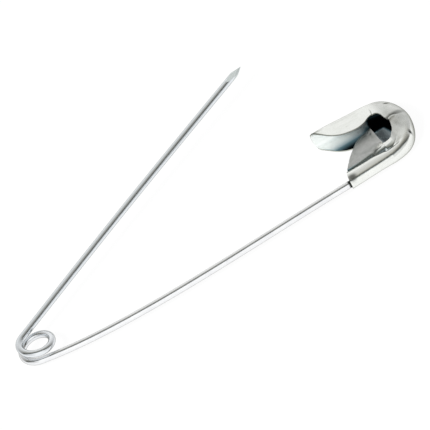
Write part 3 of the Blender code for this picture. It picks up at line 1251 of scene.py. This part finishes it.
class PlateMaker:
    """Makes the plated materials from their finishes."""

    def __init__(self, groups: EffectGroups) -> None:
        """Keep the shared node groups."""
        self.groups = groups

    def _placed(self, sheet: NodeSheet, group: NodeTree, **values: Value) -> Node:
        """Place a group in a material with its own values."""
        node = sheet.add("ShaderNodeGroup", node_tree=group)
        return sheet.feed(node, **values)

    def make(self, plate: Plate, run_scale: Point) -> Material:
        """Make one plated material, which reads its piece's marks: see MARKS.

        Args:
            plate: The finish.
            run_scale: Stretch of the drawing lines along and across the metal's run.

        Returns:
            The material.
        """
        material = bpy.data.materials.new(plate.name)
        material.use_nodes = True
        sheet = NodeSheet(material.node_tree)
        shader = material.node_tree.nodes["Principled BSDF"]
        place = sheet.add("ShaderNodeTexCoord").outputs["Object"]
        run = sheet.add("ShaderNodeMapping")
        run_map = sheet.add("ShaderNodeUVMap", uv_map="UVMap")
        sheet.feed(run, Vector=run_map.outputs["UV"], Scale=run_scale)
        mottle = self._placed(sheet, self.groups.mottle, Place=place, Scale=plate.mottle_scale)
        skin = self._placed(
            sheet, self.groups.skin, Place=place, Run=run.outputs["Vector"],
            Peel_Scale=plate.peel_scale, Peel_Depth=plate.peel_depth,
            Line_Depth=plate.line_depth,
        )
        specks = self._placed(sheet, self.groups.specks, Place=place, Scale=PINHOLE_SCALE)
        masks = {
            name: sheet.add("ShaderNodeAttribute", attribute_name=name).outputs["Fac"]
            for name in MARKS
        }
        colour = self._colour(sheet, plate, mottle, specks, masks)
        rough = self._roughness(sheet, plate, mottle, skin, masks)
        bump = sheet.add("ShaderNodeBump")
        sheet.feed(bump, Height=skin.outputs["Height"], Strength=1.0, Distance=1.0)
        metal = plate.metallic
        if plate is INNER_PLATE:
            metal = sheet.spread(masks["inside"], *FULL_METAL_RANGE, plate.metallic, 1.0)
        sheet.feed(shader, Base_Color=colour, Roughness=rough, Metallic=metal,
                   Normal=bump.outputs["Normal"], Specular_Tint=plate.rim_tint)
        return material

    def _colour(self, sheet: NodeSheet, plate: Plate, mottle: Node, specks: Node,
                masks: dict[str, NodeSocket]) -> NodeSocket:
        """Colour a finish: clouded plate, pinholes, worn edges, and painted shade: the dull grey,
        the depth inside, the crease line, and grime with shade.

        Args:
            sheet: The material's nodes.
            plate: The finish.
            mottle: The cloudy wear.
            specks: The pinholes.
            masks: The piece's marks by name.

        Returns:
            The colour.
        """
        cloud = sheet.times(mottle.outputs["Cloud"], CLOUD_SHARE)
        colour = sheet.blend(cloud, plate.tone, plate.shade)
        pinholes = sheet.times(specks.outputs["Mask"], PINHOLE_SHARE)
        colour = sheet.blend(pinholes, colour, PINHOLE_COLOUR)
        wear = sheet.times(masks["edge"], mottle.outputs["Fine"])
        colour = sheet.blend(wear, colour, plate.worn)
        # Painted shade: the dull guard leaf and bend are painted a mottled darker grey.
        dull_and_shade = sheet.times(masks["dull_and_shade"], DULL_SHADE_SHARE)
        dull_shade_colour = sheet.blend(mottle.outputs["Cloud"], DULL_SHADE_TONE, DULL_SHADE_DARK)
        colour = sheet.blend(dull_and_shade, colour, dull_shade_colour)
        # Painted shade: the inner face darkens to slate and near black deep inside the cap.
        if plate is INNER_PLATE:
            half = sheet.spread(masks["inside"], *HALF_SHADE_RANGE)
            colour = sheet.blend(half, colour, plate.half_painted_shade)
            colour = sheet.blend(sheet.spread(masks["inside"], *DEEP_SHADE_RANGE), colour, plate.deep_painted_shade)
        # Painted shade: the pin arm and the coil take a darker, bluer tone.
        if plate is WIRE_PLATE:
            colour = sheet.blend(masks["inside"], colour, plate.half_painted_shade)
        # Painted shade: a dark slate line in the crease along the guard's rise.
        if plate is CAP_PLATE:
            colour = sheet.blend(masks["crease"], colour, plate.half_painted_shade)
        # Grime and painted shade: dark dents, fold, nose and lips, and the wire's ring at the
        # mouth.
        return sheet.blend(masks["grime_and_shade"], colour, GRIME_AND_SHADE_COLOUR)

    def _roughness(self, sheet: NodeSheet, plate: Plate, mottle: Node, skin: Node,
                   masks: dict[str, NodeSocket]) -> NodeSocket:
        """Roughen a finish where it is finely worn, drawn, dull, and marked with grime and painted
        shade.

        Args:
            sheet: The material's nodes.
            plate: The finish.
            mottle: The cloudy wear.
            skin: The fine relief.
            masks: The piece's marks by name.

        Returns:
            The roughness.
        """
        rough = sheet.times(mottle.outputs["Fine"], plate.roughness_spread)
        rough = sheet.maths("ADD", rough, plate.roughness)
        for value, share in (
            (skin.outputs["Lines"], plate.roughness_spread * LINE_SHARE),
            (masks["dull_and_shade"], DULL_ROUGHNESS), (masks["grime_and_shade"], GRIME_AND_SHADE_ROUGHNESS),
        ):
            rough = sheet.maths("ADD", rough, sheet.times(value, share))
        return rough


# ---------------------------------------------------------------- sub-assemblies


@dataclass
class BentWire:
    """The one spring wire: fixed arm, coil and pin arm with its ground point.

    A grinding stroke is its turn round the wire and its slope to it, in degrees, and how far
    back from the point it starts; the strokes with no start shape the very point.
    """

    mouth: Point
    route: WireRoute
    form: CapForm
    radius: float = WIRE_RADIUS
    side_steps: int = 22
    tip_radius: float = 0.05 * MM
    ground_reach: float = 8.2 * MM
    strokes: tuple = (
        (64, 6.5, 6.8 * MM), (-20, 4.0, 5.4 * MM), (170, 3.0, 4.4 * MM), (250, 4.0, 5.4 * MM),
        (44, 12.5, 0.0), (-10, 17.0, 0.0), (112, 13.5, 0.0), (172, 15.0, 0.0), (235, 16.0, 0.0),
        (292, 16.5, 0.0),
    )
    cut_threshold: float = 0.0001 * MM
    end_depth: float = 0.1 * MM
    flat_match: float = 0.9999
    join_angle: float = 0.1
    smooth_angle: float = 30
    seat_starts: float = 0.3 * MM
    slot: str = "plated_wire"

    def _tube(self, name: str, line: list[Point]) -> Object:
        """Sweep a round wire along a line.

        Args:
            name: Name of the piece.
            line: The wire's middle line, from the cap's mouth.

        Returns:
            The tube, open at both ends, with a UV map in metres along it.
        """
        clear_selection()
        bpy.ops.curve.primitive_bezier_curve_add()
        tube = bpy.context.object
        tube.name = name
        curve = tube.data
        curve.dimensions = "3D"
        curve.twist_mode = "MINIMUM"
        curve.splines.clear()
        spline = curve.splines.new("POLY")
        spline.points.add(len(line) - 1)
        for point, place in zip(spline.points, line):
            point.co = (*(self.mouth + place), 1)
        curve.bevel_depth = self.radius
        curve.bevel_resolution = self.side_steps
        bpy.ops.object.convert(target="MESH")
        tube = bpy.context.object
        tube.name = tube.data.name = name
        self._measure_run(tube, line)
        return tube

    def _measure_run(self, tube: Object, line: list[Point]) -> None:
        """Set the UV map to real lengths along the wire.

        Args:
            tube: The swept wire.
            line: Its middle line.
        """
        run = [0.0]
        for before, after in zip(line, line[1:]):
            run.append(run[-1] + (after - before).length)
        last = len(line) - 1
        uvs = tube.data.uv_layers["UVMap"].data
        for item in uvs:
            place = item.uv.x * last
            index = min(int(place), last - 1)
            item.uv.x = run[index] + (run[index + 1] - run[index]) * (place - index)

    def _paint_shade(self, tube: Object, grime_and_shade: list[float], cool_shade: list[float]) -> None:
        """Keep the wire's painted shade: a dark ring at the cap's mouth, and a darker, bluer tone.

        Args:
            tube: The piece.
            grime_and_shade: Painted shade of the ring at the cap's mouth, at each vertex.
            cool_shade: Painted darker, bluer tone at each vertex.
        """
        unmarked = [0.0] * len(grime_and_shade)
        for name in MARKS:
            point_attribute(tube, name, {"grime_and_shade": grime_and_shade, "inside": cool_shade}.get(name, unmarked))

    def _close_ends(self, tube: Object) -> None:
        """Fill the wire's square cut ends.

        Args:
            tube: The swept wire.
        """
        edit(tube, "EDGE", "DESELECT")
        bpy.ops.mesh.select_non_manifold()
        bpy.ops.mesh.edge_face_add()
        leave_edit()

    def _grind(self, tube: Object, line: list[Point]) -> None:
        """Grind the point with flat strokes, and keep each stroke's face flat.

        Args:
            tube: The pin arm.
            line: Its middle line.
        """
        tip = self.mouth + line[-1]
        axis = (line[-1] - line[-2]).normalized()
        side = axis.cross(UP).normalized()
        over = side.cross(axis)
        flats = []
        for turn, slope, start in self.strokes:
            turn, slope = math.radians(turn), math.radians(slope)
            outward = side * math.cos(turn) + over * math.sin(turn)
            normal = outward * math.cos(slope) + axis * math.sin(slope)
            flats.append(normal)
            place = tip + normal * self.tip_radius
            if start:
                place = tip - axis * start + outward * self.radius
            edit(tube, "VERT", "SELECT")
            bpy.ops.mesh.bisect(
                plane_co=place, plane_no=normal, use_fill=True, clear_outer=True,
                threshold=self.cut_threshold,
            )
            leave_edit()
        self._true_up(tube, tip, axis, (line[-1] - line[-2]).length)
        for face in tube.data.polygons:
            ground = any(face.normal.dot(flat) > self.flat_match for flat in flats)
            face.use_smooth = not ground
            face.material_index = int(ground)

    def _true_up(self, tube: Object, tip: Point, axis: Point, reach: float) -> None:
        """Close the ground end as one convex shape, with no face left inside it.

        Args:
            tube: The ground wire.
            tip: The very end of the point.
            axis: Direction of the wire at its end.
            reach: Length of the last straight stretch of the wire.
        """
        def depth(place: Point) -> float:
            """Return how far a place lies behind the start of the last stretch."""
            return (tip - place).dot(axis) - reach

        edit(tube, "VERT", "DESELECT")
        leave_edit()
        for vertex in tube.data.vertices:
            vertex.select = depth(vertex.co) < self.end_depth
        bpy.ops.object.mode_set(mode="EDIT")
        bpy.ops.mesh.convex_hull(
            use_existing_faces=False, make_holes=False, join_triangles=False
        )
        bpy.ops.mesh.dissolve_limited(angle_limit=math.radians(self.join_angle))
        bpy.ops.mesh.select_all(action="DESELECT")
        bpy.ops.mesh.select_mode(type="FACE")
        leave_edit()
        places = [vertex.co.copy() for vertex in tube.data.vertices]
        for face in tube.data.polygons:
            face.select = all(abs(depth(places[index])) < self.end_depth
                              for index in face.vertices)
        drop_selected_faces()

    def _finish(self, tube: Object, *metals: Material) -> None:
        """Give a wire piece its metals, in the order of its faces' numbers.

        Args:
            tube: The piece.
            metals: Its metals.
        """
        ranks = [face.material_index for face in tube.data.polygons]
        tube.data.materials.clear()
        for metal in metals:
            tube.data.materials.append(metal)
        for face, rank in zip(tube.data.polygons, ranks):
            face.material_index = rank

    def _stretch(self, name: str, node: str, line: list[Point]) -> Object:
        """Build one stretch of the wire with its cut ends closed.

        Args:
            name: Name of the piece.
            node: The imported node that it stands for.
            line: The stretch's middle line.

        Returns:
            The stretch.
        """
        tube = self._tube(name, line)
        self._close_ends(tube)
        select_only(tube)
        bpy.ops.object.shade_smooth_by_angle(angle=math.radians(self.smooth_angle))
        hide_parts(node)
        return tube

    def build(self, plate: Material, ground: Material) -> list[Object]:
        """Build the three stretches of the wire.

        Args:
            plate: The wire's metal.
            ground: The metal of the point's ground faces.

        Returns:
            The fixed arm, the coil and the pin arm.
        """
        seat = self.form.seat(self.seat_starts, self.route.seated_length)
        arm = self._stretch("fixed_arm_wire", "fixed_wire", self.route.fixed_arm(seat))
        # Painted shade: a dark ring on the fixed arm where it enters the cap's mouth.
        unmarked, fully_shaded = self.route.mouth_shade_reach
        reaches = [abs(vertex.co.x - self.mouth.x) for vertex in arm.data.vertices]
        self._paint_shade(arm, [1 - ease((reach - fully_shaded) / (unmarked - fully_shaded)) for reach in reaches],
                   [0.0] * len(reaches))
        self._finish(arm, plate)
        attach(arm, "root")

        coil = self._stretch("coil_wire", "spring_coil", self.route.coil())
        count = len(coil.data.vertices)
        # Painted shade: the coil's darker, bluer tone, fading along it from the pin arm.
        self._paint_shade(coil, [0.0] * count, [1 - index / count for index in range(count)])
        self._finish(coil, plate)
        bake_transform(coil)

        line = self.route.pin_arm()
        line = [place for place in line[:-1]
                if (line[-1] - place).length > self.ground_reach] + line[-1:]
        pin = self._stretch("pin_arm_wire", "pin_arm", line)
        self._grind(pin, line)
        count = len(pin.data.vertices)
        # Painted shade: the pin arm's darker, bluer tone.
        self._paint_shade(pin, [0.0] * count, [1.0] * count)
        self._finish(pin, plate, ground)
        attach(pin, "pin")
        return [arm, coil, pin]


@dataclass
class FoldedCap:
    """The cap: one blank of sheet, rolled on the wire, pinched, bent back and left open."""

    mouth: Point
    form: CapForm
    grid_digits: int = 7
    join_distance: float = 0.0005 * MM
    burr_width: float = 0.07 * MM
    burr_segments: int = 2
    burr_angle: float = 55
    smooth_angle: float = 50
    slot: str = "plated_sheet"

    def _blank(self, stations: int) -> Object:
        """Lay out the flat blank as a grid.

        Args:
            stations: Number of ribs across the blank.

        Returns:
            The flat grid.
        """
        clear_selection()
        bpy.ops.mesh.primitive_grid_add(
            x_subdivisions=stations - 1, y_subdivisions=self.form.columns * 2,
            size=self.form.length, location=(0, 0, 0),
        )
        blank = bpy.context.object
        blank.name = blank.data.name = "folded_cap"
        return blank

    def _spots(self, part: Part, rim: Point, front_edge: Point, back_edge: Point) -> list[Spot]:
        """Return the spots of one section, from the back wall's edge to the front wall's.

        Args:
            part: The run of the sheet.
            rim: Place of the section on the outline.
            front_edge: Free edge of its front wall.
            back_edge: Free edge of its back wall.

        Returns:
            The spots.
        """
        form = self.form
        walls = {
            Side.FRONT: (form.section(rim, front_edge, part, False), front_edge),
            Side.BACK: (form.section(rim, back_edge, part, True), back_edge),
        }
        spots = []
        for step in range(-form.columns, form.columns + 1):
            side = Side.FRONT if step >= 0 else Side.BACK
            points, edge = walls[side]
            spots.append(Spot(points[abs(step)], rim, edge, part, side, step))
        return spots

    def _fold(self, blank: Object, plan: list[tuple], seam: int) -> None:
        """Fold the blank rib by rib, and note how each place of it is marked.

        Args:
            blank: The flat grid.
            plan: Each rib's run of the sheet, its rim, its front edge and its back edge.
            seam: The first rib past the slit, which goes on from the guard's last rib.
        """
        wear = CapWearAndShade(self.form)
        gauges = {name: getattr(wear, name) for name in MARKS}
        marks = {name: [] for name in MARKS}
        places = []
        width = self.form.columns * 2 + 1
        for number, rib in enumerate(plan):
            for spot in self._spots(*rib):
                joined = number == seam and spot.step <= self.form.crease_columns
                places.append(places[-width].copy() if joined else self._dressed(spot))
                for name, values in marks.items():
                    values.append(values[-width] if joined else gauges[name](spot))
        mesh = blank.data
        order = sorted(
            range(len(mesh.vertices)),
            key=lambda i: [round(x, self.grid_digits) for x in mesh.vertices[i].co.xy],
        )
        rank = {index: place for place, index in enumerate(order)}
        for vertex in mesh.vertices:
            vertex.co = self.mouth + places[rank[vertex.index]]
        for name, values in marks.items():
            point_attribute(blank, name, [values[rank[i]] for i in range(len(order))])
        uvs = mesh.uv_layers["UVMap"].data
        for loop in mesh.loops:
            station, column = divmod(rank[loop.vertex_index], width)
            uvs[loop.index].uv = (station / len(plan), column / width)

    def _dressed(self, spot: Spot) -> Point:
        """Return a spot's place with the pressed detail, on its own side of the sheet.

        Args:
            spot: The place before it.

        Returns:
            The place from the mouth.
        """
        form, point = self.form, spot.point
        level = point.z
        if spot.on_front:
            inset = ease(spot.step / form.rim_columns)
            level += form.pressed(point.x, point.y) * inset
            level += form.flared(point, spot.rim, spot.edge)
        if spot.part is Part.GUARD:
            if spot.side is Side.FRONT:
                level -= form.yielded(point.x, point.y)
            opened = 1 - ease(spot.rim.x / form.mouth_reach)
            level += form.mouth_flare * opened * min(level / form.tube_radius, 1.0)
        return Vector((point.x, point.y, level * spot.side.value))

    def _slit(self, blank: Object, guard_end: int, stations: int) -> None:
        """Cut the slit between the guard and the bend, and join the rest.

        Args:
            blank: The folded sheet, with its UV map over the blank.
            guard_end: The guard's last rib.
            stations: Number of ribs across the blank.
        """
        form = self.form
        mesh = blank.data
        width = form.columns * 2 + 1
        edit(blank, "FACE", "DESELECT")
        leave_edit()
        uvs = mesh.uv_layers["UVMap"].data
        for polygon in mesh.polygons:
            cells = [uvs[loop].uv for loop in polygon.loop_indices]
            station = round(min(cell.x for cell in cells) * stations)
            column = round(min(cell.y for cell in cells) * width) - form.columns
            polygon.select = station == guard_end and column >= form.crease_columns
        drop_selected_faces(self.join_distance)

    def _thicken(self, blank: Object) -> None:
        """Give the sheet its thickness and break its cut edges.

        Args:
            blank: The folded sheet.
        """
        wall = blank.modifiers.new("sheet", "SOLIDIFY")
        wall.thickness = self.form.sheet
        wall.offset = 0
        wall.material_offset = 1
        wall.material_offset_rim = 2
        burr = blank.modifiers.new("cut edge", "BEVEL")
        burr.width = self.burr_width
        burr.segments = self.burr_segments
        burr.limit_method = "ANGLE"
        burr.angle_limit = math.radians(self.burr_angle)
        apply_modifiers(blank)

    def build(self, metals: list[Material]) -> Object:
        """Build the cap.

        Args:
            metals: Finishes of the outside, the inside and the cut edges.

        Returns:
            The cap.
        """
        guard = self.form.ribs(GUARD_RIB_SHARES)
        plan = [(Part.GUARD, rim, edge, edge) for rim, edge in guard]
        plan += [(Part.WALL, *rib) for rib in self.form.ribs(WALL_RIB_SHARES)]
        cap = self._blank(len(plan))
        self._fold(cap, plan, len(guard))
        self._slit(cap, len(guard) - 1, len(plan))
        for metal in metals:
            cap.data.materials.append(metal)
        self._thicken(cap)
        select_only(cap)
        bpy.ops.object.shade_smooth_by_angle(angle=math.radians(self.smooth_angle))
        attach(cap, "root")
        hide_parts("cap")
        return cap


# ---------------------------------------------------------------- the studio


# Tones of the surroundings by their angle up from the level and over the pin, in degrees.
SKY_TONES = (
    (-180, (1.00, 1.00, 0.99)), (0, (1.00, 1.00, 1.00)), (24, (0.95, 0.95, 0.95)),
    (40, (0.74, 0.74, 0.73)), (52, (0.64, 0.64, 0.63)), (66, (0.54, 0.535, 0.51)),
    (80, (0.38, 0.375, 0.345)), (90, (0.22, 0.215, 0.19)), (98, (0.11, 0.11, 0.098)),
    (104, (0.07, 0.075, 0.065)), (110, (0.10, 0.12, 0.125)), (115, (0.26, 0.29, 0.30)),
    (121, (0.82, 0.84, 0.84)), (127, (1.00, 1.00, 1.00)), (180, (1.00, 1.00, 0.99)),
)
WHITE = (1, 1, 1, 1)
FLOOR_PAINT = (0.86, 0.86, 0.86, 1)
SKY_FILL = (0.55, 0.55, 0.56, 1)


@dataclass
class Studio:
    """Pale floor, soft surroundings and a camera at the photograph's angle."""

    mouth: Point
    # The camera.
    elevation: float = 40.0
    bearing: float = 9.5
    roll: float = 25.0
    metres_per_pixel: float = 0.0002725
    picture: float = 430.0
    mouth_pixel: Shares = (350.5, 184.0)
    distance: float = 3.0
    clip_reach: float = 12.0
    sensor: float = 36.0
    # The floor.
    floor_size: float = 3.0
    floor_glow: float = 1.03
    glow_seen: float = 0.9
    glow_mirrored: float = 0.85
    # The surroundings.
    skew: float = 24.0
    side_range: Shares = (0.25, 0.95)
    side_shade: float = 0.45
    sky_strength: float = 1.1
    # The lamp.
    lamp_size: float = 0.34
    lamp_power: float = 9.0
    lamp_place: tuple = (0.50, 0.56, 0.73)

    def _across(self) -> Point:
        """Return the level direction along the picture's width before its roll."""
        turn = math.radians(self.bearing)
        return Vector((math.cos(turn), -math.sin(turn), 0))

    def _away(self) -> Point:
        """Return the level direction away from the camera."""
        turn = math.radians(self.bearing)
        return Vector((math.sin(turn), math.cos(turn), 0))

    def add_camera(self) -> None:
        """Add a long-lensed camera that frames the pin as the photograph does."""
        tilt, roll = math.radians(self.elevation), math.radians(self.roll)
        up = self._away() * math.sin(tilt) + UP * math.cos(tilt)
        back = self._across().cross(up)
        right = self._across() * math.cos(roll) - up * math.sin(roll)
        above = self._across() * math.sin(roll) + up * math.cos(roll)
        half = self.picture / 2
        scale = self.metres_per_pixel
        centre = (self.mouth + right * ((half - self.mouth_pixel[0]) * scale)
                  - above * ((half - self.mouth_pixel[1]) * scale))
        data = bpy.data.cameras.new("camera")
        camera = bpy.data.objects.new("camera", data)
        bpy.context.scene.collection.objects.link(camera)
        turn = Matrix((right, above, back)).transposed().to_4x4()
        camera.matrix_world = Matrix.Translation(centre + back * self.distance) @ turn
        data.sensor_width = self.sensor
        data.lens = self.sensor * self.distance / (self.picture * scale)
        data.clip_end = self.clip_reach
        bpy.context.scene.camera = camera

    def add_floor(self) -> None:
        """Add the pale floor, white to the eye and to what mirrors it."""
        clear_selection()
        bpy.ops.mesh.primitive_plane_add(size=self.floor_size, location=(0, 0, 0))
        floor = bpy.context.object
        floor.name = "floor"
        material = bpy.data.materials.new("pale_floor")
        material.use_nodes = True
        sheet = NodeSheet(material.node_tree)
        material.node_tree.nodes.clear()
        path = sheet.add("ShaderNodeLightPath").outputs
        mirrored = sheet.maths("MAXIMUM", path["Is Glossy Ray"], path["Is Transmission Ray"])
        mirrored = sheet.times(mirrored, self.glow_mirrored)
        seen = sheet.times(path["Is Camera Ray"], self.glow_seen)
        seen = sheet.maths("MAXIMUM", seen, mirrored)
        paint = sheet.feed(sheet.add("ShaderNodeBsdfDiffuse"), Color=FLOOR_PAINT)
        glow = sheet.feed(sheet.add("ShaderNodeEmission"), Color=WHITE, Strength=self.floor_glow)
        mix = sheet.add("ShaderNodeMixShader")
        for socket, source in zip(mix.inputs, (seen, paint.outputs[0], glow.outputs[0])):
            sheet.join(source, socket)
        sheet.feed(sheet.add("ShaderNodeOutputMaterial"), Surface=mix.outputs[0])
        floor.data.materials.append(material)
        floor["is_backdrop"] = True

    def _share_of(self, sheet: NodeSheet, ray: NodeSocket, way: Point) -> NodeSocket:
        """Measure how much of a ray runs one way.

        Args:
            sheet: The world's nodes.
            ray: The ray's direction.
            way: The way to measure.

        Returns:
            The share.
        """
        product = sheet.add("ShaderNodeVectorMath", operation="DOT_PRODUCT")
        for socket, value in zip(product.inputs, (ray, way)):
            sheet.put(socket, value)
        return product.outputs["Value"]

    def add_surroundings(self) -> None:
        """Surround the pin with white panels front and back and a dim gap overhead."""
        world = bpy.data.worlds.new("surroundings")
        bpy.context.scene.world = world
        world.use_nodes = True
        sheet = NodeSheet(world.node_tree)
        world.node_tree.nodes.clear()
        ray = sheet.add("ShaderNodeTexCoord").outputs["Generated"]
        parts = sheet.add("ShaderNodeSeparateXYZ")
        sheet.join(ray, parts.inputs[0])
        forward, across = (self._share_of(sheet, ray, way)
                           for way in (self._away(), self._across()))
        angle = sheet.maths("ARCTAN2", parts.outputs["Z"], forward)
        skew = sheet.spread(across, *self.side_range, 0.0, math.radians(self.skew))
        angle = sheet.maths("SUBTRACT", angle, skew)
        share = sheet.spread(angle, -math.pi, math.pi)
        ramp = sheet.add("ShaderNodeValToRGB")
        sheet.join(share, ramp.inputs["Fac"])
        elements = ramp.color_ramp.elements
        while len(elements) > 1:
            elements.remove(elements[-1])
        for index, (degrees, tone) in enumerate(SKY_TONES):
            spot = 0.5 + degrees / 360
            element = elements[0] if index == 0 else elements.new(spot)
            element.position = spot
            element.color = (*tone, 1)
        path = sheet.add("ShaderNodeLightPath").outputs
        sideways = sheet.spread(sheet.maths("ABSOLUTE", across), *self.side_range)
        sideways = sheet.times(sideways, self.side_shade)
        shaded = sheet.maths("SUBTRACT", 1.0, sideways)
        colour = sheet.blend(1.0, ramp.outputs["Color"], shaded, "MULTIPLY")
        colour = sheet.blend(path["Is Diffuse Ray"], colour, SKY_FILL)
        colour = sheet.blend(path["Is Camera Ray"], colour, WHITE)
        sky = sheet.add("ShaderNodeBackground")
        sheet.feed(sky, Color=colour, Strength=self.sky_strength)
        sheet.feed(sheet.add("ShaderNodeOutputWorld"), Surface=sky.outputs[0])

    def add_lamps(self) -> None:
        """Add one broad soft lamp, on the left and above."""
        data = bpy.data.lights.new("soft_lamp", "AREA")
        data.shape = "DISK"
        data.size = self.lamp_size
        data.energy = self.lamp_power
        lamp = bpy.data.objects.new("soft_lamp", data)
        bpy.context.scene.collection.objects.link(lamp)
        lamp.visible_glossy = False
        near, left, high = self.lamp_place
        lamp.location = self.mouth - self._away() * near - self._across() * left + UP * high
        aim = (Vector((0, 0, 0)) - lamp.location).to_track_quat("-Z", "Y")
        lamp.rotation_euler = aim.to_euler()

    def build(self) -> None:
        """Set up the whole studio."""
        self.add_camera()
        self.add_floor()
        self.add_surroundings()
        self.add_lamps()
        bpy.context.scene.view_settings.view_transform = "Standard"


# ---------------------------------------------------------------- putting it together


def coil_axis() -> Point:
    """Return the place of the coil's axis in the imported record."""
    swing = next(joint for joint in frame["joints"] if joint["name"] == "pin_swing")
    return Vector(swing["pos_m"])


def corners() -> list[list[float]]:
    """Return the shown object's lowest and highest corners as plain lists."""
    return [list(corner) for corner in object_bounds()]


def main() -> None:
    """Build the pin's pieces and the studio, and report each one."""
    logging.basicConfig(level=logging.INFO, format="%(name)s: %(message)s")
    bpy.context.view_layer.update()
    route, form = WireRoute(), CapForm()
    mouth = coil_axis() - route.coil_centre
    plates = PlateMaker(EffectGroups())

    wire_metal = plates.make(WIRE_PLATE, WIRE_RUN)
    ground_metal = plates.make(GROUND_POINT, WIRE_RUN)
    for piece in BentWire(mouth, route, form).build(wire_metal, ground_metal):
        LOG.info("%s: %d faces", piece.name, len(piece.data.polygons))

    metals = [plates.make(plate, SHEET_RUN) for plate in (CAP_PLATE, INNER_PLATE, CUT_EDGE)]
    cap = FoldedCap(mouth, form).build(metals)
    LOG.info("%s: %d faces", cap.name, len(cap.data.polygons))

    Studio(mouth).build()
    LOG.info("studio is set")


if __name__ == "__main__":
    main()
